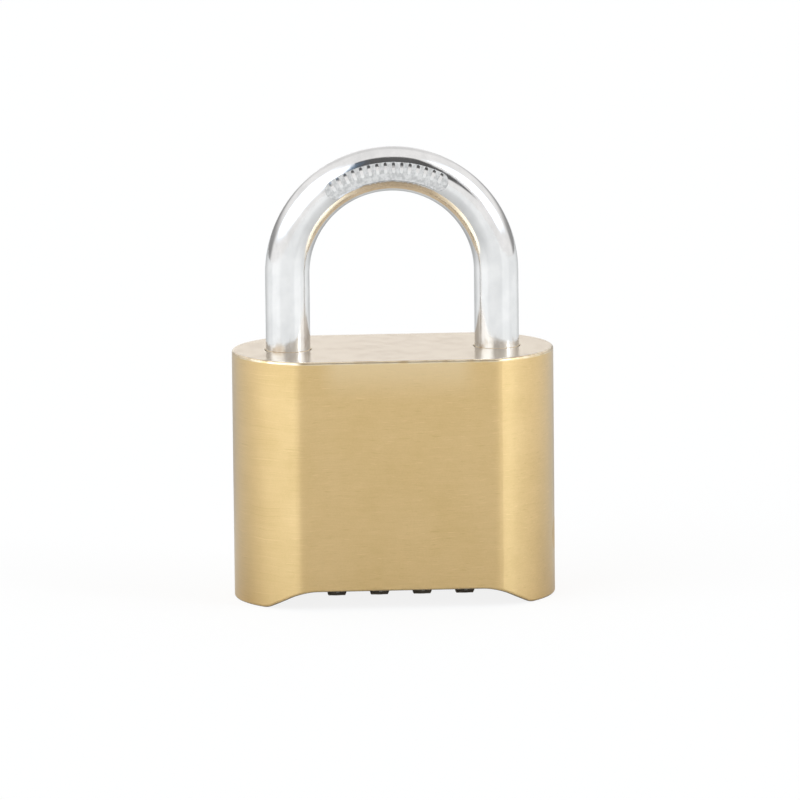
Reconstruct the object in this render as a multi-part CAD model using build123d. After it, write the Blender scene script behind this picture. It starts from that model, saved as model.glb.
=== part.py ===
from build123d import *
import math
import os

# Resettable four-dial combination padlock, in millimetres.
# X runs from the heel leg to the toe leg, -Y is the front, +Z is up.
# The feet stand on z = 0 under the middle of the block.
# It is drawn locked, with the combination dialled: every gate points up.

os.makedirs("parts", exist_ok=True)

# ---- brass block ----
body_width = 50.8
body_depth = 28.0
body_height = 39.4
end_crown = 0.85  # the end arcs' radius beyond half the depth
crease_round = 4.0  # softens the line where a flat face meets an end arc
edge_round = 0.4
saddle_rise = 2.85
saddle_half_width = 13.0
saddle_arc = 9.0
ramp_angle = 28.0
foot_round = 2.5

# ---- shackle ----
rod_radius = 3.5
leg_spacing = 33.0
shackle_opening = 25.0  # from the block up to the inside of the crown
heel_depth = 18.4
toe_depth = 9.5
lift = 10.5
bore_gap = 0.15  # radial, round the legs
leg_chamfer = 0.6
mouth_chamfer = 0.15
stop_flat_depth = 1.0
stop_pin_radius = 1.0
stop_pin_drop = 3.4  # from the block's top to the stop pin
stop_groove_radius = 2.4
stop_groove_height = 2.1
stop_gap = 0.1

# ---- stamped panel on the crown, bare of words ----
panel_middle = -3.5  # degrees along the crown, from its top towards the toe leg
panel_half_sweep = 30.0  # degrees along the crown, before the round ends
panel_tilt = 1.0  # degrees round the rod, from the front towards the inside
panel_half_width = 25.5  # degrees round the rod
panel_edge_depth = 0.1  # at the long edges; the panel's floor is flat across
bar_count = 15
bar_tilt = -8.5  # degrees round the rod, like panel_tilt
bar_width = 0.5
bar_height = 1.7
bar_round = 0.2

# ---- number dials ----
dial_count = 4
dial_width = 2.7
dial_pitch = 6.75
dial_row_offset = 0.7
dial_radius = 9.25
dial_axis_y = -2.0
dial_foot_gap = 0.3  # from the floor to the dials' lowest point
numeral_count = 10
grip_radius = 0.9
grip_depth = 0.45
dial_chamfer = 0.08
dial_slot_gap = 0.15  # each side of a dial in its slot
dial_rim_gap = 0.3

# ---- tumblers, in the dials ----
hub_radius = 3.3
hub_bearing_gap = 0.05
hub_end_gap = 0.05
tooth_height = 0.9
tooth_width = 1.0
tooth_length = 0.65
tooth_gap = 0.1
spline_length = 0.75
disc_radius = 5.7
disc_thickness = 1.0
disc_rim_gap = 0.25
gate_width = 2.2
gate_depth = 1.4
axial_gap = 0.15
change_shift = 0.75  # the tumblers' move to the left when the code is changed

# ---- spindle ----
spindle_radius = 1.7
spindle_gap = 0.05
clip_radius = 2.8
clip_thickness = 0.4
clip_seat_radius = 1.4
clip_fit = 0.02
spindle_left_seat = 2.3  # the spindle's bearing in the block, beyond the chamber
plug_radius = 2.6
plug_gap = 1.3

# ---- change cam, under the toe leg ----
cam_radius = 1.3
cam_wall = 0.55
cam_axis_y = -1.7
cam_pin_radius = 0.5
cam_groove_floor = 1.0
cam_driver_slot = 0.5
washer_thickness = 0.6
washer_hole = 0.95
toe_floor_gap = 0.9

# ---- chamber and base plate ----
chamber_front_gap = 0.5
detent_room = 1.3
chamber_corner = 1.5
chamber_end_gap = 0.25
roof_gap = 0.3
plate_hub_gap = 0.85
plate_fit = 0.02
plate_pin_radius = 0.6
plate_pin_reach = 3.0
tongue_reach = 0.8
tongue_height = 1.0
tongue_width = 16.0
tongue_gap = 0.1
index_width = 0.35
index_length = 1.9
index_depth = 0.2

# ---- locking bar, latch bolt and their guide ----
guide_thickness = 0.5
guide_front = -7.0
bar_thickness = 1.6
bar_front = -4.2
bar_back = 2.2
bar_gap = 0.1
bar_side_gap = 0.2
lug_width = 1.8
bolt_width = 4.4
bolt_thickness = 3.4
bolt_roof = 2.2  # brass left above the bolt's slot
nose_height = 2.0
nose_width = 3.6
nose_reach = 1.8
nose_gap = 0.1
bolt_foot_length = 4.6
bolt_foot_height = 1.5
rivet_radius = 0.7
rivet_head_radius = 1.05
rivet_inset = 1.15
rivet_head_height = 0.45
rivet_fit = 0.01
latch_spring_length = 11.0

# ---- springs ----
coil_gap = 0.1
shackle_spring_wire = 0.35
shackle_spring_radius = 2.0
shackle_spring_turns = 6.5
shackle_pocket_radius = 2.7
shackle_pocket_depth = 7.6
latch_spring_wire = 0.3
latch_spring_radius = 1.5
latch_spring_turns = 8.5
latch_spring_drop = 9.4

# ---- detent spring ----
leaf_thickness = 0.3
finger_width = 2.4
finger_crest = 0.08  # gap to a dial's rim: the fingers are drawn lifted
finger_bend = 2.05
flange_thickness = 0.35
flange_depth = 4.6
screw_radius = 0.75
screw_head_radius = 1.3
screw_head_height = 0.7
screw_length = 3.0
screw_inset = 3.6
screw_fit = 0.01

# ---- worked out from the sizes above ----
half_width = body_width / 2
half_depth = body_depth / 2
end_radius = half_depth + end_crown
end_centre_x = half_width - end_radius
crease_x = end_centre_x + math.sqrt(end_radius**2 - half_depth**2)
ramp = math.radians(ramp_angle)
saddle_corner_x = saddle_half_width + saddle_arc * math.tan(ramp / 2)
foot_corner_x = saddle_corner_x + saddle_rise / math.tan(ramp)

heel_x = -leg_spacing / 2
toe_x = leg_spacing / 2
crown_radius = leg_spacing / 2
crown_z = body_height + shackle_opening - (crown_radius - rod_radius)
heel_bottom = body_height - heel_depth
toe_bottom = body_height - toe_depth
bore_radius = rod_radius + bore_gap
stop_pin_z = body_height - stop_pin_drop
stop_pin_x = heel_x - rod_radius + stop_flat_depth - stop_gap - stop_pin_radius
stop_shoulder_z = stop_pin_z - stop_pin_radius - lift - stop_gap

dial_axis_z = dial_radius + dial_foot_gap
dial_centres = [dial_row_offset + dial_pitch * (i - (dial_count - 1) / 2) for i in range(dial_count)]
dial_space = dial_pitch - dial_width
lug_thickness = (dial_space - disc_thickness - 4 * axial_gap) / 2
travel = lug_thickness + disc_thickness + 2 * axial_gap
tooth_radius = hub_radius + tooth_height
disc_start = 2 * axial_gap + lug_thickness  # from a dial's right face to its tumbler's disc
lug_start = disc_start + disc_thickness + axial_gap
hub_starts = [x - dial_width / 2 for x in dial_centres]
last_hub_end = dial_centres[-1] + dial_width / 2 + disc_start + disc_thickness + chamber_end_gap
hub_ends = [x - hub_end_gap for x in hub_starts[1:]] + [last_hub_end]
lug_left_faces = [x + dial_width / 2 + lug_start for x in dial_centres]

plate_top = dial_axis_z - hub_radius - plate_hub_gap
plate_pin_height = (saddle_rise + plate_top) / 2
chamber_left = hub_starts[0] - hub_end_gap - clip_thickness - change_shift - chamber_end_gap
chamber_right = lug_left_faces[-1] + lug_thickness + chamber_end_gap
chamber_front = dial_axis_y - dial_radius - chamber_front_gap
chamber_back = dial_axis_y + dial_radius + detent_room
guide_bottom = dial_axis_z + dial_radius + roof_gap
chamber_top = guide_bottom + guide_thickness

bar_bottom = chamber_top + bar_gap
bar_top = bar_bottom + bar_thickness
bar_right = lug_left_faces[-1] + lug_thickness
bar_left = lug_left_faces[0] - lug_thickness
lug_tip = dial_axis_z + disc_radius - gate_depth + bar_side_gap
bolt_top = body_height - bolt_roof - bar_side_gap
nose_bottom = bolt_top - nose_height
nose_tip_x = toe_x - rod_radius + nose_reach
bolt_right = toe_x - bore_radius - bar_side_gap
bolt_left = bolt_right - bolt_thickness
foot_left = bolt_left - bolt_foot_length
slot_left = bolt_left - latch_spring_length
slot_right = toe_x - bore_radius + 1.0
toe_ramp = travel / lift  # the bolt's move for each millimetre of lift

toe_floor = toe_bottom - toe_floor_gap - washer_thickness
cam_x = chamber_right + cam_wall + cam_radius
cam_throw = change_shift / math.sqrt(2)
cam_bottom = dial_axis_z + spindle_radius + bar_side_gap
cam_groove_x = cam_x + change_shift / 2
spindle_left = chamber_left - spindle_left_seat
spindle_right = cam_groove_x + cam_radius
plug_left = spindle_right + plug_gap
spring_z = body_height - latch_spring_drop


# ---- small shapes ----
def block(x0, x1, y0, y1, z0, z1):
    centre = Pos((x0 + x1) / 2, (y0 + y1) / 2, (z0 + z1) / 2)
    return centre * Box(x1 - x0, y1 - y0, z1 - z0)


def rod_along_x(radius, x0, x1, y, z):
    return Pos((x0 + x1) / 2, y, z) * Rot(0, 90, 0) * Cylinder(radius, x1 - x0)


def rod_along_y(radius, x, y0, y1, z):
    return Pos(x, (y0 + y1) / 2, z) * Rot(90, 0, 0) * Cylinder(radius, y1 - y0)


def rod_along_z(radius, x, y, z0, z1):
    return Pos(x, y, (z0 + z1) / 2) * Cylinder(radius, z1 - z0)


def on_dial_axis(shape):
    return Pos(0, dial_axis_y, dial_axis_z) * shape


def coil(radius, wire, length, turns):
    """A round-wire spring standing on z = 0, inside the given length."""
    height = length - 2 * wire
    path = Helix(pitch=height / turns, height=height, radius=radius)
    section = Plane(origin=path @ 0, z_dir=path % 0) * Circle(wire)
    return Pos(0, 0, wire) * sweep(section, path=path, is_frenet=True)


def save(name, *solids):
    """Writes one sub-part; several separate solids share its node."""
    shapes = [solid for shape in solids for solid in shape.solids()]
    whole = shapes[0] if len(shapes) == 1 else Compound(children=shapes)
    whole.label = name
    export_step(whole, f"parts/{name}.step")


# ---- the block's outside, also used to trim what is ground flush with it ----
def plan_face():
    outline = [
        Line((-crease_x, -half_depth), (crease_x, -half_depth)),
        ThreePointArc((crease_x, -half_depth), (half_width, 0), (crease_x, half_depth)),
        Line((crease_x, half_depth), (-crease_x, half_depth)),
        ThreePointArc((-crease_x, half_depth), (-half_width, 0), (-crease_x, -half_depth)),
    ]
    face = make_face(outline)
    return fillet(face.vertices(), crease_round)


def front_profile():
    reach = half_width + 5
    top = body_height + 5
    points = [
        (-reach, 0),
        (-foot_corner_x, 0),
        (-saddle_corner_x, saddle_rise),
        (saddle_corner_x, saddle_rise),
        (foot_corner_x, 0),
        (reach, 0),
        (reach, top),
        (-reach, top),
    ]
    face = make_face(Polyline(*points, close=True))
    feet = [v for v in face.vertices() if abs(abs(v.X) - foot_corner_x) < 0.01]
    face = fillet(feet, foot_round)
    saddle = [v for v in face.vertices() if abs(abs(v.X) - saddle_corner_x) < 0.01]
    return fillet(saddle, saddle_arc)


def outer_block():
    plan = extrude(plan_face(), body_height)
    plan = fillet(plan.edges().group_by(Axis.Z)[-1], edge_round)
    profile = extrude(Plane.XZ * front_profile(), body_depth, both=True)
    shape = plan & profile
    low = [e for e in shape.edges() if e.center().Z < saddle_rise + 0.1]
    rim = [e for e in low if abs(e.center().Y) > half_depth / 3 or abs(e.center().X) > half_width - 1]
    return fillet(rim, edge_round)


outer = outer_block()


# ---- brass block ----
def chamber_prism(z0, z1, gap):
    width = chamber_right - chamber_left - 2 * gap
    depth = chamber_back - chamber_front - 2 * gap
    centre = Pos((chamber_left + chamber_right) / 2, (chamber_front + chamber_back) / 2, z0)
    return centre * extrude(RectangleRounded(width, depth, chamber_corner), z1 - z0)


def tongue(gap):
    centre_x = (chamber_left + chamber_right) / 2
    return block(
        centre_x - tongue_width / 2 - gap,
        centre_x + tongue_width / 2 + gap,
        chamber_front - tongue_reach - gap,
        chamber_front + 1,
        plate_pin_height - tongue_height / 2 - gap,
        plate_pin_height + tongue_height / 2 + gap,
    )


def plate_pin_places():
    return [(dial_centres[i] + dial_centres[i + 1]) / 2 for i in (0, dial_count - 2)]


def screw_places():
    return [chamber_left + screw_inset, chamber_right - screw_inset]


def screw_y():
    return chamber_back - flange_depth / 2


def leg_mouth(x):
    cone = Cone(bore_radius, bore_radius + 2 * mouth_chamfer, 2 * mouth_chamfer)
    return Pos(x, 0, body_height) * cone


def lock_body():
    above = body_height + 1
    shape = outer
    shape -= chamber_prism(-1, chamber_top, 0)
    shape -= tongue(tongue_gap)
    shape -= block(
        bar_left - travel - bar_side_gap,
        chamber_right,
        bar_front - bar_side_gap,
        bar_back + bar_side_gap,
        chamber_top - 1,
        bar_top + bar_side_gap,
    )
    slot_half = bolt_width / 2 + bar_side_gap
    shape -= block(
        slot_left, slot_right, -slot_half, slot_half, chamber_top, bolt_top + bar_side_gap
    )
    shape -= rod_along_z(bore_radius, toe_x, 0, toe_floor, above)
    shape -= rod_along_z(bore_radius, heel_x, 0, heel_bottom - bore_gap, above)
    shape -= rod_along_z(
        shackle_pocket_radius, heel_x, 0, heel_bottom - shackle_pocket_depth, heel_bottom
    )
    shape -= leg_mouth(toe_x)
    shape -= leg_mouth(heel_x)
    shape -= rod_along_z(
        cam_radius + spindle_gap, cam_x, cam_axis_y, dial_axis_z, toe_floor + 0.1
    )
    shape -= rod_along_x(
        spindle_radius + spindle_gap,
        spindle_left - change_shift - bar_side_gap,
        half_width,
        dial_axis_y,
        dial_axis_z,
    )
    shape -= rod_along_x(
        plug_radius + screw_fit, plug_left, half_width + 1, dial_axis_y, dial_axis_z
    )
    shape -= rod_along_y(
        stop_pin_radius + screw_fit, stop_pin_x, -bore_radius, half_depth, stop_pin_z
    )
    for x in plate_pin_places():
        shape -= rod_along_y(
            plate_pin_radius + screw_fit, x, chamber_back - 1, half_depth + 1, plate_pin_height
        )
    for x in screw_places():
        shape -= rod_along_z(
            screw_radius + screw_fit, x, screw_y(), chamber_top - 0.1, chamber_top + screw_length
        )
    return shape


# ---- base plate and the pins that hold it ----
def base_plate():
    shape = (chamber_prism(-1, plate_top, plate_fit) + tongue(0)) & outer
    slot_half = dial_width / 2 + dial_slot_gap
    for x in dial_centres:
        shape -= on_dial_axis(rod_along_x(dial_radius + dial_rim_gap, x - slot_half, x + slot_half, 0, 0))
        disc_left = x + dial_width / 2 + disc_start
        shape -= on_dial_axis(
            rod_along_x(
                disc_radius + disc_rim_gap,
                disc_left - change_shift - axial_gap,
                disc_left + disc_thickness + axial_gap,
                0,
                0,
            )
        )
    for x in plate_pin_places():
        shape -= rod_along_y(
            plate_pin_radius + screw_fit,
            x,
            chamber_back - plate_pin_reach,
            chamber_back + 1,
            plate_pin_height,
        )
    marks = [(dial_centres[i] + dial_centres[i + 1]) / 2 for i in range(dial_count - 1)]
    marks.insert(0, dial_centres[0] - dial_pitch / 2)
    marks.append(dial_centres[-1] + dial_pitch / 2)
    for x in marks:
        shape -= block(
            x - index_length / 2,
            x + index_length / 2,
            dial_axis_y - index_width / 2,
            dial_axis_y + index_width / 2,
            0,
            saddle_rise + index_depth,
        )
    return shape


def base_plate_pins():
    pins = []
    for x in plate_pin_places():
        pin = rod_along_y(
            plate_pin_radius,
            x,
            chamber_back - plate_pin_reach + bar_gap,
            half_depth + 1,
            plate_pin_height,
        )
        pins.append(pin & outer)
    return pins


# ---- shackle ----
def crown_ring(inner, outer_radius, start, sweep_angle, low, high):
    """Part of the crown from a flat across the rod to a radius, from low to high degrees round it.

    Zero degrees round the rod faces the front, and 90 the inside of the crown.
    The flat's long edges are at the inner radius.
    """
    steps = [(outer_radius, low), (outer_radius, (low + high) / 2), (outer_radius, high)]
    steps += [(inner, high), (inner, low)]
    spots = [
        (crown_radius - r * math.sin(math.radians(a)), -r * math.cos(math.radians(a)))
        for r, a in steps
    ]
    outline = [
        ThreePointArc(spots[0], spots[1], spots[2]),
        Line(spots[2], spots[3]),
        Line(spots[3], spots[4]),
        Line(spots[4], spots[0]),
    ]
    ring = revolve(make_face(outline), Axis.Y, -sweep_angle)
    return Pos(0, 0, crown_z) * Rot(0, -start, 0) * ring


def crown_peg(angle, tilt, outline):
    """A peg standing out of the rod's middle line through the panel, for trimming."""
    peg = Rot(90, 0, 0) * extrude(outline, rod_radius + 1)
    peg = Pos(0, 0, crown_radius) * Rot(tilt, 0, 0) * peg
    return Pos(0, 0, crown_z) * Rot(0, angle + panel_middle, 0) * peg


def stamped_panel(rod):
    low = panel_tilt - panel_half_width
    high = panel_tilt + panel_half_width
    floor = rod_radius - panel_edge_depth
    skin = rod_radius + 1
    start = 90 - panel_middle - panel_half_sweep
    cut = crown_ring(floor, skin, start, 2 * panel_half_sweep, low, high)
    end_round = Circle(rod_radius * math.sin(math.radians(panel_half_width)))
    end_ring = crown_ring(
        floor, skin, start - panel_half_sweep, 4 * panel_half_sweep, low, high
    )
    for side in (-1, 1):
        cut += end_ring & crown_peg(side * panel_half_sweep, panel_tilt, end_round)
    outline = RectangleRounded(bar_width, bar_height, bar_round)
    spread = 2 * panel_half_sweep / (bar_count - 1)
    places = [i * spread - panel_half_sweep for i in range(bar_count)]
    bars = [rod & crown_peg(place, bar_tilt, outline) for place in places]
    shape = rod - cut
    for bar in bars:
        shape += bar
    return shape


def shackle():
    section = Pos(crown_radius, 0, 0) * Circle(rod_radius)
    crown = Pos(0, 0, crown_z) * revolve(section, Axis.Y, -180)
    crown = stamped_panel(crown)
    heel = rod_along_z(rod_radius, heel_x, 0, heel_bottom, crown_z)
    heel = chamfer(heel.edges().group_by(Axis.Z)[0], leg_chamfer)
    toe = rod_along_z(rod_radius, toe_x, 0, toe_bottom, crown_z)
    toe = chamfer(toe.edges().group_by(Axis.Z)[0], leg_chamfer)

    flat_x = heel_x - rod_radius + stop_flat_depth
    flat_top = stop_pin_z + stop_pin_radius + 3 * stop_gap
    heel -= block(
        heel_x - 2 * rod_radius, flat_x, -rod_radius, rod_radius, stop_shoulder_z, flat_top
    )
    groove = rod_along_z(
        2 * rod_radius, heel_x, 0, stop_shoulder_z, stop_shoulder_z + stop_groove_height
    )
    groove -= rod_along_z(
        stop_groove_radius, heel_x, 0, stop_shoulder_z, stop_shoulder_z + stop_groove_height
    )
    heel -= groove

    floor_x = nose_tip_x + nose_gap
    notch_top = bolt_top + 2 * nose_gap
    notch_bottom = nose_bottom - 2 * nose_gap
    tip = toe_bottom - 1
    outside = toe_x - 2 * rod_radius
    notch = Polyline(
        (outside, notch_top),
        (floor_x, notch_top),
        (floor_x, notch_bottom),
        (floor_x - toe_ramp * (notch_bottom - tip), tip),
        (outside, tip),
        close=True,
    )
    toe -= extrude(Plane.XZ * make_face(notch), 2 * rod_radius, both=True)
    return crown + heel + toe


def shackle_stop_pin():
    pin = rod_along_y(
        stop_pin_radius, stop_pin_x, bar_gap - bore_radius, half_depth, stop_pin_z
    )
    return pin & outer


def shackle_spring():
    length = shackle_pocket_depth - coil_gap
    spring = coil(shackle_spring_radius, shackle_spring_wire, length, shackle_spring_turns)
    return Pos(heel_x, 0, heel_bottom - shackle_pocket_depth) * spring


# ---- number dials ----
def spline_teeth(radius, width, x0, x1):
    teeth = []
    for i in range(numeral_count):
        tooth = block(x0, x1, -width / 2, width / 2, hub_radius / 2, radius)
        teeth.append(Rot(i * 360 / numeral_count, 0, 0) * tooth)
    return teeth


def dial(centre):
    left = centre - dial_width / 2
    right = centre + dial_width / 2
    shape = rod_along_x(dial_radius, left, right, 0, 0)
    shape = chamfer(shape.edges().filter_by(GeomType.CIRCLE), dial_chamfer)
    grip_centre = dial_radius + grip_radius - grip_depth
    for i in range(numeral_count):
        turn = Rot((i + 0.5) * 360 / numeral_count, 0, 0)
        shape -= turn * rod_along_x(grip_radius, left - 1, right + 1, 0, grip_centre)
    shape -= rod_along_x(hub_radius + hub_bearing_gap, left - 1, right + 1, 0, 0)
    relief = tooth_radius + 2 * tooth_gap
    relief_left = right - spline_length - tooth_length - change_shift
    shape -= rod_along_x(relief, relief_left, right - spline_length, 0, 0)
    for slot in spline_teeth(
        tooth_radius + tooth_gap, tooth_width + 2 * tooth_gap, right - spline_length - 0.1, right + 1
    ):
        shape -= slot
    return on_dial_axis(shape)


# ---- tumblers, spindle and clips ----
def tumbler(centre, hub_start, hub_end):
    right = centre + dial_width / 2
    shape = rod_along_x(hub_radius, hub_start, hub_end, 0, 0)
    tooth_end = right - hub_end_gap
    for tooth in spline_teeth(tooth_radius, tooth_width, tooth_end - tooth_length, tooth_end):
        shape += tooth
    disc = rod_along_x(disc_radius, right + disc_start, right + disc_start + disc_thickness, 0, 0)
    disc -= block(
        right, hub_end + 1, -gate_width / 2, gate_width / 2, disc_radius - gate_depth, disc_radius + 1
    )
    shape += disc
    shape -= rod_along_x(spindle_radius + spindle_gap, hub_start - 1, hub_end + 1, 0, 0)
    return on_dial_axis(shape)


def clip_places():
    return [hub_starts[0] - hub_end_gap - clip_thickness, hub_ends[-1] + hub_end_gap]


def ring_groove(x0, x1, floor):
    ring = rod_along_x(2 * spindle_radius, x0, x1, 0, 0)
    return ring - rod_along_x(floor, x0 - 1, x1 + 1, 0, 0)


def spindle():
    shape = rod_along_x(spindle_radius, spindle_left, spindle_right, 0, 0)
    for x in clip_places():
        shape -= ring_groove(x - clip_fit, x + clip_thickness + clip_fit, clip_seat_radius)
    half_groove = cam_pin_radius + spindle_gap
    shape -= ring_groove(cam_groove_x - half_groove, cam_groove_x + half_groove, cam_groove_floor)
    return on_dial_axis(shape)


def spindle_clips():
    clips = []
    for x in clip_places():
        clip = rod_along_x(clip_radius, x, x + clip_thickness, 0, 0)
        clip -= rod_along_x(clip_seat_radius + clip_fit, x - 1, x + 2, 0, 0)
        clip -= block(x - 1, x + 2, -clip_seat_radius, clip_seat_radius, -2 * clip_radius, 0)
        clips.append(on_dial_axis(clip))
    return clips


def spindle_plug():
    return rod_along_x(plug_radius, plug_left, half_width + 1, dial_axis_y, dial_axis_z) & outer


# ---- change cam ----
def change_cam():
    top = toe_floor - bar_gap
    shape = rod_along_z(cam_radius, cam_x, cam_axis_y, cam_bottom, top)
    slot_half = cam_driver_slot / 2
    shape -= Pos(cam_x, cam_axis_y, 0) * block(
        -2 * cam_radius, 2 * cam_radius, -slot_half, slot_half, top - cam_radius, top + 1
    )
    offset = cam_throw / math.sqrt(2)
    pin_bottom = dial_axis_z + cam_groove_floor + bar_side_gap
    shape += rod_along_z(
        cam_pin_radius, cam_x + offset, cam_axis_y - offset, pin_bottom, cam_bottom + 0.1
    )
    return shape


def cam_washer():
    shape = rod_along_z(bore_radius - screw_fit, toe_x, 0, toe_floor, toe_floor + washer_thickness)
    return shape - rod_along_z(washer_hole, cam_x, cam_axis_y, toe_floor - 1, toe_floor + 2)


# ---- locking bar, latch bolt, rivets, spring and guide ----
def rivet_places():
    return [foot_left + rivet_inset, foot_left + bolt_foot_length - rivet_inset]


def rivet_holes(shape):
    for x in rivet_places():
        shape -= rod_along_z(rivet_radius + rivet_fit, x, 0, bar_bottom - 1, bar_top + bolt_foot_height + 1)
    return shape


def locking_bar():
    shape = block(bar_left, bar_right, bar_front, bar_back, bar_bottom, bar_top)
    for x in lug_left_faces:
        shape += block(
            x,
            x + lug_thickness,
            dial_axis_y - lug_width / 2,
            dial_axis_y + lug_width / 2,
            lug_tip,
            bar_bottom + 0.1,
        )
    return rivet_holes(shape)


def latch_bolt():
    half = bolt_width / 2
    nose_half = nose_width / 2
    shape = block(bolt_left, bolt_right, -half, half, bar_top, bolt_top)
    shape += block(foot_left, bolt_left + 1, -half, half, bar_top, bar_top + bolt_foot_height)
    shape += block(bolt_right - 1, nose_tip_x, -nose_half, nose_half, nose_bottom, bolt_top)
    boss = latch_spring_radius - latch_spring_wire - coil_gap
    shape += rod_along_x(boss, bolt_left - 1.5, bolt_left + 1, 0, spring_z)
    return rivet_holes(shape)


def latch_rivets():
    head_z = bar_top + bolt_foot_height
    rivets = []
    for x in rivet_places():
        rivet = rod_along_z(rivet_radius, x, 0, bar_bottom + bar_gap / 2, head_z + rivet_head_height)
        rivet += rod_along_z(rivet_head_radius, x, 0, head_z, head_z + rivet_head_height)
        rivets.append(rivet)
    return rivets


def latch_spring():
    length = latch_spring_length - 2 * coil_gap
    spring = coil(latch_spring_radius, latch_spring_wire, length, latch_spring_turns)
    return Pos(slot_left + coil_gap, 0, spring_z) * Rot(0, 90, 0) * spring


def guide_plate():
    shape = block(
        chamber_left + bar_side_gap,
        chamber_right - bar_side_gap / 2,
        guide_front,
        chamber_back - detent_room / 4,
        guide_bottom,
        chamber_top,
    )
    shape &= chamber_prism(guide_bottom - 1, chamber_top + 1, bar_side_gap / 2)
    for x in lug_left_faces:
        shape -= block(
            x - travel - bar_side_gap,
            x + lug_thickness + bar_side_gap,
            dial_axis_y - lug_width / 2 - bar_side_gap,
            dial_axis_y + lug_width / 2 + bar_side_gap,
            guide_bottom - 1,
            chamber_top + 1,
        )
    for x in screw_places():
        shape -= rod_along_z(screw_radius + screw_fit, x, screw_y(), guide_bottom - 1, chamber_top + 1)
    return shape


# ---- detent spring ----
def finger_outline():
    """A leaf's edge, seen along the dials' axis, with its crest beside the rim."""
    back = chamber_back - detent_room / 4 - leaf_thickness
    crest = dial_axis_y + dial_radius + finger_crest
    inner = [
        (back, guide_bottom),
        (back, dial_axis_z + finger_bend),
        (crest, dial_axis_z),
        (back, dial_axis_z - finger_bend),
    ]
    rear = [(y + leaf_thickness, z) for y, z in reversed(inner)]
    return make_face(Polyline(*inner, *rear, close=True))


def detent_spring():
    back = chamber_back - detent_room / 4
    shape = block(
        chamber_left + 2 * bar_side_gap,
        chamber_right - 2 * bar_side_gap,
        back - flange_depth,
        back,
        guide_bottom - flange_thickness,
        guide_bottom,
    )
    for x in dial_centres:
        finger = extrude(Plane.YZ * finger_outline(), finger_width)
        shape += Pos(x - finger_width / 2, 0, 0) * finger
    for x in screw_places():
        shape -= rod_along_z(screw_radius + screw_fit, x, screw_y(), 0, chamber_top)
    return shape


def detent_screws():
    head_top = guide_bottom - flange_thickness
    screws = []
    for x in screw_places():
        screw = rod_along_z(screw_radius, x, screw_y(), head_top, chamber_top + screw_length - bar_gap)
        screw += rod_along_z(screw_head_radius, x, screw_y(), head_top - screw_head_height, head_top)
        screw -= Pos(x, screw_y(), head_top - screw_head_height) * Box(
            2 * screw_head_radius, screw_radius / 2, screw_radius / 2
        )
        screws.append(screw)
    return screws


save("lock_body", lock_body())
save("base_plate", base_plate())
save("base_plate_pins", *base_plate_pins())
save("shackle", shackle())
save("shackle_stop_pin", shackle_stop_pin())
save("shackle_spring", shackle_spring())
for number, centre in enumerate(dial_centres, 1):
    save(f"dial_{number}", dial(centre))
    save(f"tumbler_{number}", tumbler(centre, hub_starts[number - 1], hub_ends[number - 1]))
save("spindle", spindle())
save("spindle_clips", *spindle_clips())
save("spindle_plug", spindle_plug())
save("change_cam", change_cam())
save("cam_washer", cam_washer())
save("locking_bar", locking_bar())
save("latch_bolt", latch_bolt())
save("latch_rivets", *latch_rivets())
save("latch_spring", latch_spring())
save("guide_plate", guide_plate())
save("detent_spring", detent_spring())
save("detent_screws", *detent_screws())

print("bolt travel", travel, "lift", lift, "ratio", toe_ramp)
print("dial centres", dial_centres, "axis y, z", dial_axis_y, dial_axis_z)
print("change cam axis", cam_x, cam_axis_y, "shift", change_shift)
print("crown top", crown_z + crown_radius + rod_radius)
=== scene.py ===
import math

import bmesh
import bpy
from mathutils import Matrix, Vector


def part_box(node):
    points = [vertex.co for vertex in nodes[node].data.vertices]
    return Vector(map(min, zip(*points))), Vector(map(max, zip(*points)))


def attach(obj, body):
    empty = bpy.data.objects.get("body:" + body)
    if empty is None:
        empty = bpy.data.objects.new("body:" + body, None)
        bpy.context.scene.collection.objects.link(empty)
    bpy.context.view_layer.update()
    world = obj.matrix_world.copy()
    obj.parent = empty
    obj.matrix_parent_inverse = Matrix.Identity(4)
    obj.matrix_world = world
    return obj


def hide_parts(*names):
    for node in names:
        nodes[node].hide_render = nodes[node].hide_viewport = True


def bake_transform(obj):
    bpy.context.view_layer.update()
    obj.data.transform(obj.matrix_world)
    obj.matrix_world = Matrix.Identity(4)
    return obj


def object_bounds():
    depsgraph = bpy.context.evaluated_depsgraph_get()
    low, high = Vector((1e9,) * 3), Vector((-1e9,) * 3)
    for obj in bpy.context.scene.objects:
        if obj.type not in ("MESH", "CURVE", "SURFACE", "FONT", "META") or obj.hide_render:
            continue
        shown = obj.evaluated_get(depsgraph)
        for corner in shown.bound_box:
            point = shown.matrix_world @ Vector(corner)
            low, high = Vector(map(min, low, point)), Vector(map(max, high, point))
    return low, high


# Looks of the combination padlock: a brushed brass block, a chromed shackle, and grey-brown dials
# with pale numerals.
# Lengths are in metres, in the padlock's own frame; angles are in degrees.

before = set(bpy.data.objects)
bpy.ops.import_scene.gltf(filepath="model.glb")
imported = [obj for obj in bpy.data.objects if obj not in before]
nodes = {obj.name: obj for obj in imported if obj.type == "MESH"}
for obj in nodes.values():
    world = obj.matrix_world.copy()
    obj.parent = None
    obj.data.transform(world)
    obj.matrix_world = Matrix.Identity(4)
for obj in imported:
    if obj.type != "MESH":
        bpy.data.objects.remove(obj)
cad_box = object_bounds()

MM = 0.001

# ---- camera ----
CAMERA_AZIMUTH = -3.546
CAMERA_ELEVATION = 9.093
CAMERA_ROLL = -0.587
CAMERA_DISTANCE = 1.5
CAMERA_LENS = 427.4
AIM_RIGHT = 1.142 * MM
AIM_UP = -4.690 * MM
CAMERA_SENSOR = 36.0
CAMERA_NEAR = 0.05
CAMERA_FAR = 20.0

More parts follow.
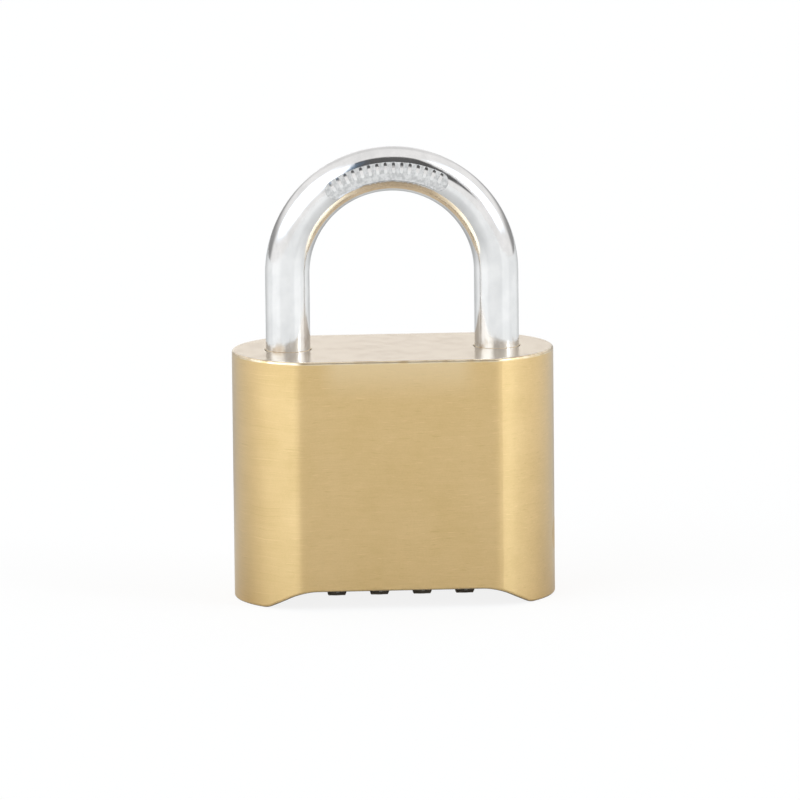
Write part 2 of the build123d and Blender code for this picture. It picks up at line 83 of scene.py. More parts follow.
# ---- brass ----
# noise scales: along the strokes, across them, and the unused third
FINE_STROKES = (420, 7800, 1)
BROAD_STROKES = (110, 1500, 1)
SCRATCHES = (420, 4300, 1)
# the sway's noise scales along X, Y and Z, and how far it moves a stroke
STROKE_SWAY = (90, 90, 130)
WALL_SWAY = 1.6 * MM
FLAT_SWAY = 0.25 * MM
# noise scales, the same along every axis
BRASS_CLOUDS = 120
BRASS_GRAIN = 3800
EDGE_PATCHES = 420
# shares of the tone; a pair is for the walls and for the flats
FINE_SHARE = 0.9
BAND_SHARE = 0.45
CLOUD_SHARE = 1.2, 0.3
GRAIN_SHARE = 0.5
SCRATCH_SHARE = 0.45
# noise levels where a scratch starts and where it is full
PALE_SCRATCH = 0.66, 0.76
DARK_SCRATCH = 0.34, 0.24
# what is added to the roughness, in the same way
FINE_ROUGHNESS = 0.14
CLOUD_ROUGHNESS = 0.12, 0.04
# pale tone, deep tone and roughness
BLOCK_BRASS = (0.92, 0.660, 0.315), (0.76, 0.530, 0.218), 0.36
PLATE_BRASS = (0.82, 0.57, 0.28), (0.67, 0.46, 0.20), 0.38
FLAT_NORMAL = 0.6  # a surface whose normal has more than this along Z is a flat
# painted shade: the flats are mixed towards a darker, browner tone, which dims the soft boxes that
# they reflect
FLAT_SHADE_TONE = (0.40, 0.31, 0.23)
FLAT_SHADE_SHARE = 0.62
FLAT_ROUGHNESS = 0.24
# a painted sheen: the middle of the front and back walls is mixed towards a pale tone near the top
SHEEN_TONE = (1.0, 0.80, 0.50)
SHEEN_HALF_WIDTH = 9.0 * MM
SHEEN_FADE = 4.0 * MM
SHEEN_DROP = 7.0 * MM
SHEEN_SHARE = 0.50
# the top edge lightened in patches, partly as wear and partly as a painted highlight along the edge
# round
EDGE_WEAR_AND_HIGHLIGHT_TONE = (1.0, 0.86, 0.64)
EDGE_WEAR_AND_HIGHLIGHT_SHARE = 0.8
EDGE_BOTTOM = 0.40 * MM
EDGE_TOP = 0.06 * MM
EDGE_FADE = 0.12 * MM

# ---- chrome ----
# noise scales along X, Y and Z
CHROME_CLOUDS = (260, 260, 200)
POLISHING_SMEARS = (1500, 1500, 160)
CHROME_RIPPLE = (330, 330, 190)
CHROME_GRAIN = (3200, 3200, 2400)
MOUTH_SPOTS = (520, 520, 420)
PRESSED_GRAIN = 2100
# tones
CHROME_DULL = (0.765, 0.757, 0.752)
CHROME_BRIGHT = (0.885, 0.872, 0.864)
PRESSED_DULL = (0.55, 0.545, 0.54)
PRESSED_BRIGHT = (0.76, 0.75, 0.745)
# painted shade at the leg mouths
MOUTH_SHADE_TONE = (0.46, 0.36, 0.25)
# where the painted shade at the leg mouths lies, from the block's top, and how strong it is
MOUTH_BELOW = 0.6 * MM
MOUTH_ABOVE = 0.3 * MM
MOUTH_FADE = 2.3 * MM
MOUTH_SHADE_SHARE = 0.7
# the roughness of clean plating, and what each mark adds to it
CHROME_ROUGHNESS = 0.085
PRESSED_ROUGHNESS = 0.12
CLOUDED_ROUGHNESS = 0.06
SMEARED_ROUGHNESS = 0.08
MOUTH_ROUGHNESS = 0.08
# the stamped panel's floor, from the shackle's middle plane, and how far from it the press marks go
PANEL_FLOOR = 3.07 * MM
PANEL_REACH = 0.12 * MM
PANEL_FADE = 0.04 * MM

# ---- inner metal ----
METAL_CLOUDS = 380
METAL_SPECKS = 2600
# pale tone, deep tone, roughness, and the tool marks' noise scale along X, Y and Z
PIN_BRASS = (0.86, 0.61, 0.29), (0.70, 0.48, 0.20), 0.34, (900, 4000, 900)
TUMBLER_BRASS = (0.86, 0.64, 0.33), (0.70, 0.49, 0.22), 0.3, (6000, 900, 900)
PIN_STEEL = (0.62, 0.62, 0.64), (0.46, 0.46, 0.48), 0.3, (5000, 900, 900)
SPRING_STEEL = (0.52, 0.52, 0.54), (0.36, 0.36, 0.38), 0.34, (1600, 1600, 1600)
LATCH_STEEL = (0.62, 0.61, 0.57), (0.46, 0.45, 0.41), 0.4, (500, 3800, 3800)

# ---- dials ----
DIAL_COUNT = 4
DIAL_DEEP = (0.34, 0.305, 0.255)
DIAL_PALE = (0.46, 0.412, 0.35)
DIAL_RUBBED = (0.56, 0.50, 0.42)
DIAL_RINGS = 5200.0
DIAL_CLOUDS = 420
DIAL_RUBS = 900
RIM_INNER = 0.30 * MM
RIM_OUTER = 0.02 * MM

# ---- depth of the bumps ----
TOOL_MARK = 0.012 * MM
PLATING_RIPPLE = 0.05 * MM
PAINT_WEAR = 0.01 * MM

# ---- numerals ----
NUMERAL_COUNT = 10
NUMERAL_HEIGHT = 2.7 * MM
NUMERAL_WIDTH = 1.75 * MM
NUMERAL_BOLD = 0.018
NUMERAL_SINK = 0.05 * MM
NUMERAL_PROUD = 0.03 * MM
NUMERAL_SLICES = 8
NUMERAL_DEEP = (0.84, 0.82, 0.77)
NUMERAL_PALE = (0.92, 0.91, 0.87)
NUMERAL_WORN = (0.42, 0.39, 0.33)
PAINT_CHIPS = 1500
PAINT_CLOUDS = 500

# ---- springs ----
COIL_STEPS = 24
COIL_SIDES = 12
SPRINGS = (
    # name, CAD node, body at its moving end, wire radius, turns, lies along X
    ("shackle_coil", "shackle_spring", "shackle", 0.35 * MM, 6.5, False),
    ("latch_coil", "latch_spring", "latch", 0.30 * MM, 8.5, True),
)

# ---- floor ----
FLOOR_HALF = 3.0
# painted shade: reflections see the floor darker near the block
FLOOR_NEAR_SHADE_TONE = 0.60
FLOOR_FAR_TONE = 0.88
FLOOR_SEEN_TONE = 0.9
FLOOR_GLOW = 0.86
FLOOR_GREEN = 0.972
FLOOR_BLUE = 0.92
# a rise is where a change starts and ends, a span is where it starts, is full, falls and ends
FLOOR_RISE = 0.03, 0.28
# painted pools of light on the floor, to each side of the block
LIGHT_POOL_TONE = 0.10
LIGHT_POOL_RISE = 0.05, 0.2
LIGHT_POOL_LEFT = -96, -80, -54, -38
LIGHT_POOL_RIGHT = 24, 36, 62, 74
# painted shade on the floor behind the block
BEHIND_SHADE_TONE = -0.34
BEHIND_RISE = 0.04, 0.15
BEHIND_TURN = 105, 160

# ---- studio walls: their level, and what is added to it ----
WALL_LEVEL = 0.94
WALL_FALL = 6, 24
DIM_TONE = -0.62
DIM_SPAN = 96, 118, 158, 180
BACK_TONE = 0.28
BACK_RISE = 158, 174
HIGH_TONE = -0.16
HIGH_SPAN = 12, 24, 44, 56
HIGH_RISE = 140, 165

# ---- soft boxes ----
BOX_HEIGHTS = 8, 22, 36, 68
LEFT_SPAN = -108, -80, -46, -10
RIGHT_SPAN = 50, 58, 60, 68
FILL_SPAN = 55, 70, 84, 99
LEFT_BOX = 1.72
RIGHT_BOX = 5.0
RIGHT_FILL = 1.05
BOX_BLUE = 0.5
BOX_GREEN = 0.44

# ---- dark gap, in parts of a direction's X, Y and Z ----
GAP_SHADE = 0.88
GAP_BOTTOM = 0.345
GAP_BOTTOM_FALL = -0.05
GAP_FRONT = -0.34
GAP_TAPER_START = 0.28
GAP_TAPER = -1.3
GAP_LEFT = -0.31, -0.27
GAP_BOTTOM_EDGE = -0.02, 0.03
GAP_FRONT_EDGE = -0.03, 0.03

# ---- its two tails ----
TAIL_CENTRE = -0.06
TAIL_FOOT = 0.11
TAIL_FOOT_HEIGHT = 0.19
TAIL_LEAN = 0.476
TAIL_WIDTHS = 0.02, 0.075
TAIL_WIDENS = 0.17, 0.46
TAIL_HEIGHTS = 0.14, 0.18, 0.48, 0.52
TAIL_FRONT = -0.7, -0.5
TAIL_SIDES = -0.05, 0.05
TAIL_SHADES = 0.75, 0.55
TAIL_EDGE = 0.02


# ---- node trees ----
class Graph:
    """Short calls that build one node tree."""

    def __init__(self, tree):
        self.tree = tree
        self.tree.nodes.clear()

    def feed(self, socket, value):
        if isinstance(value, bpy.types.NodeSocket):
            self.tree.links.new(value, socket)
        else:
            socket.default_value = value

    def node(self, kind, inputs=None, **settings):
        made = self.tree.nodes.new(kind)
        for name, value in settings.items():
            setattr(made, name, value)
        for name, value in (inputs or {}).items():
            self.feed(made.inputs[name], value)
        return made

    def math(self, operation, *values):
        made = self.node("ShaderNodeMath", operation=operation)
        for socket, value in zip(made.inputs, values):
            self.feed(socket, value)
        return made.outputs[0]

    def total(self, first, *others):
        for value in others:
            first = self.math("ADD", first, value)
        return first

    def product(self, first, *others):
        for value in others:
            first = self.math("MULTIPLY", first, value)
        return first

    def smooth(self, value, low, high, to_low=0.0, to_high=1.0):
        """to_low below low, to_high above high, and a smooth step between."""
        made = self.node("ShaderNodeMapRange", interpolation_type="SMOOTHSTEP")
        for socket, given in zip(made.inputs, (value, low, high, to_low, to_high)):
            self.feed(socket, given)
        return made.outputs[0]

    def span(self, value, start, full, fall, end):
        """1 between full and fall, and smoothly down to 0 at start and end."""
        rise = self.smooth(value, start, full)
        return self.product(rise, self.smooth(value, fall, end, 1.0, 0.0))

    def window(self, value, low, high, soft):
        """1 between low and high, falling smoothly to 0 over soft on each side."""
        return self.span(value, low - soft, low, high, high + soft)

    def split(self, vector):
        return self.node("ShaderNodeSeparateXYZ", {"Vector": vector}).outputs

    def join(self, x, y, z):
        return self.node("ShaderNodeCombineXYZ", {"X": x, "Y": y, "Z": z}).outputs[0]

    def stretched(self, vector, x, y, z):
        return self.node("ShaderNodeMapping", {"Vector": vector, "Scale": (x, y, z)}).outputs[0]

    def noise(self, vector, scale=1.0, detail=2.0, roughness=0.5):
        inputs = {"Vector": vector, "Scale": scale, "Detail": detail, "Roughness": roughness}
        return self.node("ShaderNodeTexNoise", inputs).outputs["Fac"]

    def mix(self, factor, low, high):
        """A colour between low and high."""
        made = self.node("ShaderNodeMix", data_type="RGBA")
        self.feed(made.inputs[0], factor)
        for index, colour in ((6, low), (7, high)):
            linked = isinstance(colour, bpy.types.NodeSocket)
            self.feed(made.inputs[index], colour if linked else (*colour, 1))
        return made.outputs[2]

    def choose(self, factor, low, high):
        """A number between low and high."""
        made = self.node("ShaderNodeMix", data_type="FLOAT")
        for index, value in ((0, factor), (2, low), (3, high)):
            self.feed(made.inputs[index], value)
        return made.outputs[0]

    def bump(self, height, distance, strength):
        inputs = {"Height": height, "Distance": distance, "Strength": strength}
        return self.node("ShaderNodeBump", inputs).outputs[0]

    def centred(self, value):
        """A noise, which lies around 0.5, moved to lie around 0."""
        return self.math("SUBTRACT", value, 0.5)

    def place(self):
        return self.node("ShaderNodeTexCoord").outputs["Object"]

    def flatness(self):
        """1 where the surface faces up or down, 0 on the upright walls."""
        normal = self.split(self.node("ShaderNodeNewGeometry").outputs["Normal"])
        return self.math("GREATER_THAN", self.math("ABSOLUTE", normal[2]), FLAT_NORMAL)

    def shader(self, **inputs):
        """A Principled shader on the material's output."""
        made = self.node("ShaderNodeBsdfPrincipled")
        for name, value in inputs.items():
            self.feed(made.inputs[name.replace("_", " ")], value)
        output = self.node("ShaderNodeOutputMaterial")
        self.tree.links.new(made.outputs[0], output.inputs["Surface"])
        return made


def new_material(name):
    material = bpy.data.materials.new(name)
    material.use_nodes = True
    return material, Graph(material.node_tree)


# ---- brushed brass ----
def brushed_brass(name, pale, deep, roughness, top_edge=None):
    """Brass brushed sideways on the walls and along X on the flats, with painted shade on the
    flats. Below top_edge it has a painted sheen and an edge lightened partly by wear and partly as
    a painted highlight.
    """
    material, g = new_material(name)
    place = g.place()
    x, y, z = g.split(place)
    flat = g.flatness()
    upright = g.math("SUBTRACT", 1.0, flat)
    sway = g.noise(g.stretched(place, *STROKE_SWAY), detail=3)
    across = g.choose(flat, z, y)
    along = g.total(x, g.product(y, upright))
    wavy = g.total(across, g.product(sway, g.choose(flat, WALL_SWAY, FLAT_SWAY)))
    lane = g.join(along, wavy, 0.0)
    fine = g.noise(g.stretched(lane, *FINE_STROKES), detail=3, roughness=0.7)
    bands = g.noise(g.stretched(lane, *BROAD_STROKES), detail=3, roughness=0.6)
    clouds = g.noise(place, BRASS_CLOUDS, detail=5, roughness=0.6)
    grain = g.noise(place, BRASS_GRAIN, detail=2, roughness=0.6)
    strokes = g.noise(g.stretched(lane, *SCRATCHES), detail=1, roughness=0.4)
    pale_scratch = g.smooth(strokes, *PALE_SCRATCH)
    dark_scratch = g.smooth(strokes, *DARK_SCRATCH)

    tone = g.total(
        g.product(g.centred(fine), FINE_SHARE),
        g.product(g.centred(bands), BAND_SHARE),
        g.product(g.centred(clouds), g.choose(flat, *CLOUD_SHARE)),
        g.product(g.centred(grain), GRAIN_SHARE),
        g.product(pale_scratch, SCRATCH_SHARE),
        g.product(dark_scratch, -SCRATCH_SHARE),
        0.5,
    )
    colour = g.mix(tone, deep, pale)
    # painted shade on the flats
    colour = g.mix(g.product(flat, FLAT_SHADE_SHARE), colour, FLAT_SHADE_TONE)
    if top_edge is not None:
        # painted sheen near the top of the front and back walls
        width = g.math("ABSOLUTE", x)
        reach = g.smooth(width, SHEEN_HALF_WIDTH, SHEEN_HALF_WIDTH + SHEEN_FADE, 1.0, 0.0)
        rise = g.smooth(z, top_edge - SHEEN_DROP, top_edge)
        painted_sheen = g.product(rise, reach, upright, SHEEN_SHARE)
        colour = g.mix(painted_sheen, colour, SHEEN_TONE)
        # the top edge lightened, partly as wear and partly as a painted highlight
        worn = g.window(z, top_edge - EDGE_BOTTOM, top_edge - EDGE_TOP, EDGE_FADE)
        patches = g.smooth(g.noise(place, EDGE_PATCHES, 3), 0.25, 0.6)
        worn = g.product(worn, patches, EDGE_WEAR_AND_HIGHLIGHT_SHARE)
        colour = g.mix(worn, colour, EDGE_WEAR_AND_HIGHLIGHT_TONE)
    rough = g.total(
        g.choose(flat, roughness, FLAT_ROUGHNESS),
        g.product(g.centred(fine), FINE_ROUGHNESS),
        g.product(g.centred(clouds), g.choose(flat, *CLOUD_ROUGHNESS)),
    )
    height = g.total(
        fine, g.product(grain, 0.35), g.product(pale_scratch, -0.8), g.product(bands, 0.4)
    )
    g.shader(
        Base_Color=colour,
        Metallic=1.0,
        Roughness=rough,
        Anisotropic=0.75,
        Tangent=g.join(0.0, flat, upright),
        Coat_Weight=0.8,
        Coat_Roughness=0.32,
        Normal=g.bump(height, TOOL_MARK, 0.5),
    )
    return material


# ---- chrome ----
def chrome(name, mouth_height):
    """Bright plating on a ground rod, with faint polishing marks and painted shade in brown spots
    where it enters the block.
    """
    material, g = new_material(name)
    place = g.place()
    _, y, z = g.split(place)
    facing = g.split(g.node("ShaderNodeTexCoord").outputs["Normal"])[1]
    stamped = g.product(
        g.smooth(facing, -0.995, -0.97, 1.0, 0.0),
        g.window(y, -PANEL_FLOOR - PANEL_REACH, -PANEL_FLOOR + PANEL_REACH, PANEL_FADE),
    )
    clouds = g.noise(g.stretched(place, *CHROME_CLOUDS), detail=4, roughness=0.6)
    smears = g.noise(g.stretched(place, *POLISHING_SMEARS), detail=3, roughness=0.6)
    ripple = g.noise(g.stretched(place, *CHROME_RIPPLE), detail=2, roughness=0.5)
    grain = g.noise(g.stretched(place, *CHROME_GRAIN), detail=2)
    colour = g.mix(g.smooth(clouds, 0.3, 0.7), CHROME_DULL, CHROME_BRIGHT)
    # painted shade in brown spots where the legs enter the block
    near_mouth = g.window(z, mouth_height - MOUTH_BELOW, mouth_height + MOUTH_ABOVE, MOUTH_FADE)
    shade_spots = g.smooth(g.noise(g.stretched(place, *MOUTH_SPOTS), detail=3), 0.5, 0.66)
    colour = g.mix(g.product(near_mouth, shade_spots, MOUTH_SHADE_SHARE), colour, MOUTH_SHADE_TONE)
    pressed = g.noise(place, PRESSED_GRAIN, 3, 0.6)
    pressed_tone = g.mix(g.smooth(pressed, 0.35, 0.65), PRESSED_DULL, PRESSED_BRIGHT)
    colour = g.mix(stamped, colour, pressed_tone)
    rough = g.total(
        CHROME_ROUGHNESS,
        g.product(stamped, PRESSED_ROUGHNESS),
        g.product(g.smooth(clouds, 0.35, 0.75), CLOUDED_ROUGHNESS),
        g.product(g.smooth(smears, 0.5, 0.8), SMEARED_ROUGHNESS),
        g.product(near_mouth, MOUTH_ROUGHNESS),
    )
    height = g.total(
        ripple, g.product(grain, 0.05), g.product(smears, 0.05), g.product(stamped, pressed, 0.3)
    )
    g.shader(
        Base_Color=colour,
        Metallic=1.0,
        Roughness=rough,
        Normal=g.bump(height, PLATING_RIPPLE, 0.35),
    )
    return material


# ---- turned, stamped and drawn metal of the inner pieces ----
def grained_metal(name, pale, deep, roughness, stretch):
    """Metal whose tool marks run along the axes that stretch scales least."""
    material, g = new_material(name)
    place = g.place()
    marks = g.noise(g.stretched(place, *stretch), detail=3, roughness=0.65)
    clouds = g.noise(place, METAL_CLOUDS, 4, 0.6)
    specks = g.smooth(g.noise(place, METAL_SPECKS, 2), 0.62, 0.74)
    tone = g.total(
        g.product(g.centred(marks), 1.1),
        g.product(g.centred(clouds), 1.2),
        0.5,
    )
    colour = g.mix(g.smooth(tone, 0.0, 1.0), deep, pale)
    rough = g.total(roughness, g.product(g.centred(marks), 0.2), g.product(specks, 0.08))
    g.shader(
        Base_Color=colour,
        Metallic=1.0,
        Roughness=rough,
        Normal=g.bump(g.total(marks, g.product(clouds, 0.4)), TOOL_MARK, 0.5),
    )
    return material


def dial_finish(name, axis_y, axis_z, radius):
    """Grey-brown plating, turned round the dial's axis and worn paler at the rim."""
    material, g = new_material(name)
    place = g.place()
    x, y, z = g.split(place)
    dy = g.math("SUBTRACT", y, axis_y)
    dz = g.math("SUBTRACT", z, axis_z)
    reach = g.math("SQRT", g.total(g.product(dy, dy), g.product(dz, dz)))
    turned = g.join(g.product(reach, DIAL_RINGS), g.product(x, DIAL_RINGS), 0.0)
    rings = g.noise(turned, detail=2)
    clouds = g.noise(place, DIAL_CLOUDS, 4, 0.6)
    rub = g.product(
        g.smooth(reach, radius - RIM_INNER, radius - RIM_OUTER),
        g.smooth(g.noise(place, DIAL_RUBS, 3), 0.45, 0.65),
    )
    colour = g.mix(g.smooth(clouds, 0.3, 0.7), DIAL_DEEP, DIAL_PALE)
    colour = g.mix(g.product(rub, 0.35), colour, DIAL_RUBBED)
    rough = g.total(0.38, g.product(g.centred(rings), 0.2), g.product(clouds, 0.08))
    g.shader(
        Base_Color=colour,
        Metallic=0.3,
        Roughness=rough,
        Normal=g.bump(g.total(rings, g.product(clouds, 0.5)), TOOL_MARK, 0.5),
    )
    return material


def numeral_paint(name):
    """Pale paint, worn off in places."""
    material, g = new_material(name)
    place = g.place()
    worn = g.smooth(g.noise(place, PAINT_CHIPS, 4, 0.6), 0.52, 0.75)
    colour = g.mix(g.noise(place, PAINT_CLOUDS, 2), NUMERAL_DEEP, NUMERAL_PALE)
    colour = g.mix(g.product(worn, 0.45), colour, NUMERAL_WORN)
    g.shader(
        Base_Color=colour,
        Roughness=g.total(0.45, g.product(worn, 0.2)),
        Normal=g.bump(worn, PAINT_WEAR, 0.4),
    )
    return material


def assign(material, *names):
    for name in names:
        slots = nodes[name].material_slots
        if not slots:
            nodes[name].data.materials.append(material)
        for material_slot in slots:
            material_slot.material = material


def dial_shape(number):
    """The middle of a dial, and its radius."""
    low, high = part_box(f"dial_{number}")
    return (low + high) / 2, (high.z - low.z) / 2


def paint_nodes():
    block_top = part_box("lock_body")[1].z
    assign(brushed_brass("block_brass", *BLOCK_BRASS, block_top), "lock_body")
    assign(brushed_brass("plate_brass", *PLATE_BRASS), "base_plate")
    assign(chrome("shackle_chrome", block_top), "shackle")

    pin = grained_metal("brass_pin", *PIN_BRASS)
    assign(pin, "base_plate_pins", "latch_rivets", "spindle_plug")
    steel = grained_metal("pin_steel", *PIN_STEEL)
    assign(steel, "shackle_stop_pin", "spindle", "change_cam", "cam_washer", "detent_screws")
    spring = grained_metal("spring_steel", *SPRING_STEEL)
    assign(spring, "spindle_clips", "detent_spring")
    make_springs(spring)
    assign(grained_metal("latch_steel", *LATCH_STEEL), "locking_bar", "latch_bolt", "guide_plate")

    tumbler = grained_metal("tumbler_brass", *TUMBLER_BRASS)
    for number in range(1, DIAL_COUNT + 1):
        middle, radius = dial_shape(number)
        assign(dial_finish(f"dial_metal_{number}", middle.y, middle.z, radius), f"dial_{number}")
        assign(tumbler, f"tumbler_{number}")


# ---- springs, coiled from the block to the piece they push ----
def coil_mesh(name, radius, wire, turns, length):
    """A round-wire coil on +Z, from 0 to length, with closed ends."""
    mesh = bpy.data.meshes.new(name)
    count = round(turns * COIL_STEPS)
    rise = length - 2 * wire
    slope = rise / (turns * math.tau * radius)
    points = []
    for step in range(count + 1):
        angle = turns * math.tau * step / count
        out = Vector((math.cos(angle), math.sin(angle), 0))
        along = Vector((-math.sin(angle), math.cos(angle), slope)).normalized()
        side = along.cross(out)
        middle = radius * out + Vector((0, 0, wire + rise * step / count))
        for corner in range(COIL_SIDES):
            turn = math.tau * corner / COIL_SIDES
            points.append(middle + wire * (math.cos(turn) * out + math.sin(turn) * side))
    faces = []
    for first in range(0, count * COIL_SIDES, COIL_SIDES):
        for corner in range(COIL_SIDES):
            a, b = first + corner, first + (corner + 1) % COIL_SIDES
            faces.append((a, b, b + COIL_SIDES, a + COIL_SIDES))
    last = count * COIL_SIDES
    faces.append(tuple(range(COIL_SIDES)))
    faces.append(tuple(reversed(range(last, last + COIL_SIDES))))
    mesh.from_pydata(points, [], faces)
    shape = bmesh.new()
    shape.from_mesh(mesh)
    bmesh.ops.recalc_face_normals(shape, faces=shape.faces)
    shape.to_mesh(mesh)
    shape.free()
    mesh.shade_smooth()
    return mesh


def make_springs(metal):
    """The two coil springs, each from the block to the piece that it pushes."""
    for name, node, body, wire, turns, along_x in SPRINGS:
        low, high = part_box(node)
        middle = (low + high) / 2
        radius = (high.y - low.y) / 2 - wire
        start, end = middle.copy(), middle.copy()
        if along_x:
            start.x, end.x = low.x, high.x
            turned = Matrix.Rotation(math.radians(90), 4, "Y")
        else:
            start.z, end.z = low.z, high.z
            turned = Matrix.Identity(4)
        mesh = coil_mesh(name, radius, wire, turns, (end - start).length)
        mesh.transform(Matrix.Translation(start) @ turned)
        mesh.materials.append(metal)
        piece = bpy.data.objects.new(name, mesh)
        bpy.context.scene.collection.objects.link(piece)
        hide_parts(node)
        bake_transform(piece)


# ---- numerals on the dials ----
def flat_numeral(digit):
    """A bmesh of one digit, centred, lying in XY with its thickness along Z."""
    curve = bpy.data.curves.new("numeral", "FONT")
    curve.body = str(digit)
    curve.size = 1.0
    curve.offset = NUMERAL_BOLD
    curve.extrude = 0.5
    curve.resolution_u = 6
    holder = bpy.data.objects.new("numeral", curve)
    mesh = bpy.data.meshes.new_from_object(holder)
    shape = bmesh.new()
    shape.from_mesh(mesh)
    bpy.data.objects.remove(holder)
    bpy.data.curves.remove(curve)
    bpy.data.meshes.remove(mesh)
    bmesh.ops.remove_doubles(shape, verts=shape.verts, dist=1e-5)
    lows = [min(v.co[i] for v in shape.verts) for i in range(2)]
    highs = [max(v.co[i] for v in shape.verts) for i in range(2)]
    tall = NUMERAL_HEIGHT / (highs[1] - lows[1])
    wide = min(NUMERAL_WIDTH / (highs[0] - lows[0]), tall)
    for v in shape.verts:
        v.co.x = (v.co.x - (lows[0] + highs[0]) / 2) * wide
        v.co.y = (v.co.y - (lows[1] + highs[1]) / 2) * tall
    return shape


def add_numeral(target, digit, centre, radius):
    """Wraps one digit round the dial, with its top towards the block's front."""
    shape = flat_numeral(digit)
    for cut in range(1, NUMERAL_SLICES):
        height = NUMERAL_HEIGHT * (cut / NUMERAL_SLICES - 0.5)
        everything = list(shape.verts) + list(shape.edges) + list(shape.faces)
        bmesh.ops.bisect_plane(shape, geom=everything, plane_co=(0, height, 0), plane_no=(0, 1, 0))
    for v in shape.verts:
        angle = math.radians(360 / NUMERAL_COUNT * digit) + v.co.y / radius
        reach = radius + (NUMERAL_PROUD if v.co.z > 0 else -NUMERAL_SINK)
        out = Vector((0, -math.sin(angle), -math.cos(angle)))
        v.co = centre + Vector((v.co.x, 0, 0)) + out * reach
    piece = bpy.data.meshes.new("piece")
    shape.to_mesh(piece)
    target.from_mesh(piece)
    shape.free()
    bpy.data.meshes.remove(piece)


def make_numerals():
    paint = numeral_paint("numeral_paint")
    for number in range(1, DIAL_COUNT + 1):
        centre, radius = dial_shape(number)
        gathered = bmesh.new()
        for digit in range(NUMERAL_COUNT):
            add_numeral(gathered, digit, centre, radius)
        bmesh.ops.recalc_face_normals(gathered, faces=gathered.faces)
        mesh = bpy.data.meshes.new(f"dial_{number}_numerals")
        gathered.to_mesh(mesh)
        gathered.free()
        mesh.materials.append(paint)
        piece = bpy.data.objects.new(f"dial_{number}_numerals", mesh)
        bpy.context.scene.collection.objects.link(piece)
        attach(piece, f"dial_{number}")


# ---- floor, world and camera ----
def compass(g, x, y):
    """Degrees round Z, 0 in front of the block and positive to its right."""
    return g.product(g.math("ARCTAN2", x, g.product(y, -1.0)), 180 / math.pi)


def floor_tone(g, x, y):
    """Painted light on the floor, which only reflections see: painted shade close to the block and
    behind it, and painted pools of light out to each side.
    """
    reach = g.math("SQRT", g.total(g.product(x, x), g.product(y, y)))
    azimuth = compass(g, x, y)
    far = g.smooth(reach, *FLOOR_RISE, FLOOR_NEAR_SHADE_TONE, FLOOR_FAR_TONE)
    light_pools = g.total(g.span(azimuth, *LIGHT_POOL_LEFT), g.span(azimuth, *LIGHT_POOL_RIGHT))
    light_pools = g.product(light_pools, g.smooth(reach, *LIGHT_POOL_RISE), LIGHT_POOL_TONE)
    turned_away = g.smooth(g.math("ABSOLUTE", azimuth), *BEHIND_TURN)
    behind = g.product(turned_away, g.smooth(reach, *BEHIND_RISE), BEHIND_SHADE_TONE)
    return g.total(far, behind, light_pools)


def make_floor():
    """A warm grey floor, which the camera sees as nearly white, with the shadow kept."""
    mesh = bpy.data.meshes.new("floor")
    half = FLOOR_HALF
    corners = [(-half, -half, 0), (half, -half, 0), (half, half, 0), (-half, half, 0)]
    mesh.from_pydata(corners, [], [(0, 1, 2, 3)])
    floor = bpy.data.objects.new("floor", mesh)
    bpy.context.scene.collection.objects.link(floor)
    material, g = new_material("floor_white")
    x, y, _ = g.split(g.place())
    seen = g.node("ShaderNodeLightPath").outputs["Is Camera Ray"]
    grey = g.choose(seen, floor_tone(g, x, y), FLOOR_SEEN_TONE)
    paint = g.join(grey, g.product(grey, FLOOR_GREEN), g.product(grey, FLOOR_BLUE))
    diffuse = g.node("ShaderNodeBsdfDiffuse", {"Color": paint}).outputs[0]
    glow = g.node("ShaderNodeEmission", {"Color": (1, 1, 1, 1), "Strength": 1.0}).outputs[0]
    share = g.product(seen, FLOOR_GLOW)
    surface = g.node("ShaderNodeMixShader", {0: share, 1: diffuse, 2: glow}).outputs[0]
    g.node("ShaderNodeOutputMaterial", {"Surface": surface})
    mesh.materials.append(material)


def studio_walls(g, azimuth, elevation):
    """White walls, dim at the back corners near the horizon and a little brighter between them."""
    sideways = g.math("ABSOLUTE", azimuth)
    low_down = g.smooth(elevation, *WALL_FALL, 1.0, 0.0)
    dim = g.product(g.span(sideways, *DIM_SPAN), low_down, DIM_TONE)
    back = g.product(g.smooth(sideways, *BACK_RISE), low_down, BACK_TONE)
    high_up = g.span(elevation, *HIGH_SPAN)
    high = g.product(g.smooth(sideways, *HIGH_RISE), high_up, HIGH_TONE)
    return g.total(WALL_LEVEL, dim, back, high)


def soft_boxes(g, azimuth, elevation):
    """A wide soft box on the left, and a narrow one beside a wide one on the right."""
    boxes_up = g.span(elevation, *BOX_HEIGHTS)
    left_box = g.product(g.span(azimuth, *LEFT_SPAN), boxes_up, LEFT_BOX)
    right_box = g.product(g.span(azimuth, *RIGHT_SPAN), boxes_up, RIGHT_BOX)
    right_fill = g.product(g.span(azimuth, *FILL_SPAN), boxes_up, RIGHT_FILL)
    return g.total(right_box, right_fill, left_box)


def overhead_gap(g, x, y, z):
    """A dark gap in front of the block and above it, which narrows to the right."""
    low_side = g.total(GAP_BOTTOM, g.product(g.math("ABSOLUTE", x), GAP_BOTTOM_FALL))
    taper = g.math("MAXIMUM", g.math("SUBTRACT", x, GAP_TAPER_START), 0.0)
    high_side = g.total(GAP_FRONT, g.product(taper, GAP_TAPER))
    return g.product(
        g.smooth(g.math("SUBTRACT", z, low_side), *GAP_BOTTOM_EDGE),
        g.smooth(g.math("SUBTRACT", high_side, y), *GAP_FRONT_EDGE),
        g.smooth(x, *GAP_LEFT),
        GAP_SHADE,
    )


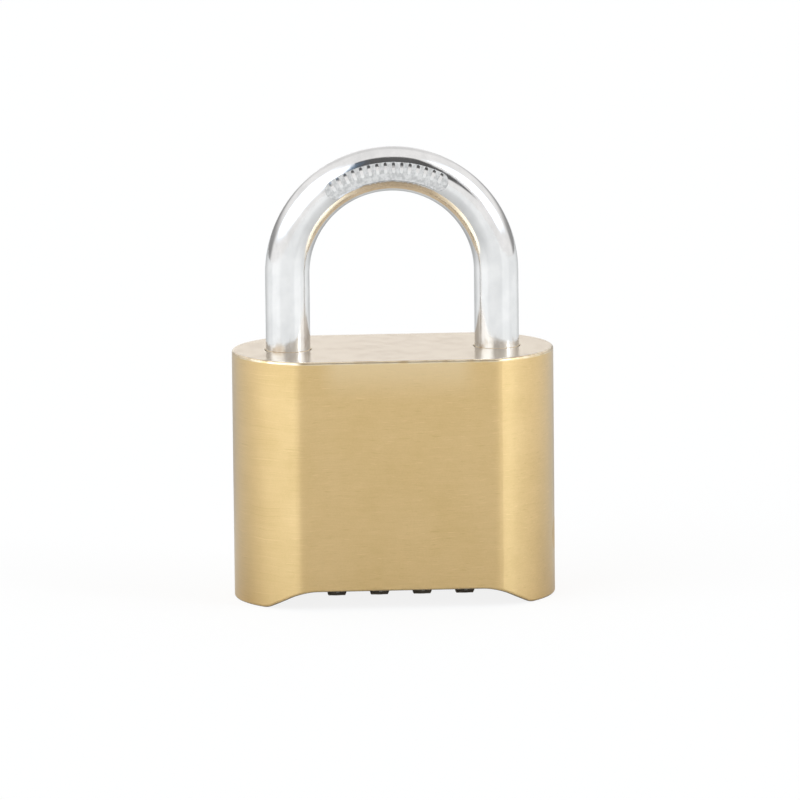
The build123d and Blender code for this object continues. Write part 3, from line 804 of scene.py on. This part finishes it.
def gap_tails(g, x, y, z):
    """Two thin dark strips in front, which lean outwards and widen up to the gap."""
    outward = g.math("ABSOLUTE", g.total(x, -TAIL_CENTRE))
    lean = g.product(g.math("SUBTRACT", z, TAIL_FOOT_HEIGHT), -TAIL_LEAN)
    off_line = g.math("ABSOLUTE", g.total(outward, -TAIL_FOOT, lean))
    breadth = g.smooth(z, *TAIL_WIDENS, *TAIL_WIDTHS)
    return g.product(
        g.smooth(g.math("SUBTRACT", breadth, off_line), -TAIL_EDGE, TAIL_EDGE),
        g.span(z, *TAIL_HEIGHTS),
        g.smooth(y, *TAIL_FRONT, 1.0, 0.0),
        g.smooth(x, *TAIL_SIDES, *TAIL_SHADES),
    )


def make_world():
    """A pale studio with no lamps, white to the camera."""
    world = bpy.data.worlds.new("studio")
    bpy.context.scene.world = world
    world.use_nodes = True
    g = Graph(world.node_tree)
    x, y, z = g.split(g.node("ShaderNodeTexCoord").outputs["Generated"])
    azimuth = compass(g, x, y)
    elevation = g.product(g.math("ARCSINE", z), 180 / math.pi)
    boxes = soft_boxes(g, azimuth, elevation)
    lit = g.total(studio_walls(g, azimuth, elevation), boxes)
    shade = g.math("MAXIMUM", overhead_gap(g, x, y, z), gap_tails(g, x, y, z))
    level = g.product(lit, g.math("SUBTRACT", 1.0, shade))
    cool = g.product(boxes, BOX_BLUE)
    tinted = g.join(level, g.total(level, g.product(cool, BOX_GREEN)), g.total(level, cool))
    seen = g.node("ShaderNodeLightPath").outputs["Is Camera Ray"]
    colour = g.mix(seen, tinted, (1, 1, 1))
    background = g.node("ShaderNodeBackground", {"Color": colour, "Strength": 1.0}).outputs[0]
    g.node("ShaderNodeOutputWorld", {"Surface": background})


def make_camera():
    low, high = cad_box
    centre = (low + high) / 2
    azimuth, elevation, roll = (
        math.radians(a) for a in (CAMERA_AZIMUTH, CAMERA_ELEVATION, CAMERA_ROLL)
    )
    back = Vector(
        (
            math.sin(azimuth) * math.cos(elevation),
            -math.cos(azimuth) * math.cos(elevation),
            math.sin(elevation),
        )
    )
    right = Vector((math.cos(azimuth), math.sin(azimuth), 0))
    up = back.cross(right)
    right, up = (
        math.cos(roll) * right + math.sin(roll) * up,
        math.cos(roll) * up - math.sin(roll) * right,
    )
    place = centre + CAMERA_DISTANCE * back
    aim = centre + AIM_RIGHT * right + AIM_UP * up
    look = (place - aim).normalized()
    side = (right - look * right.dot(look)).normalized()
    turn = Matrix((side, look.cross(side), look)).transposed()
    data = bpy.data.cameras.new("camera")
    data.lens = CAMERA_LENS
    data.sensor_width = CAMERA_SENSOR
    data.clip_start = CAMERA_NEAR
    data.clip_end = CAMERA_FAR
    camera = bpy.data.objects.new("camera", data)
    camera.matrix_world = Matrix.Translation(place) @ turn.to_4x4()
    bpy.context.scene.collection.objects.link(camera)
    bpy.context.scene.camera = camera


make_camera()
paint_nodes()
make_numerals()
make_floor()
make_world()
bpy.context.scene.view_settings.view_transform = "Standard"
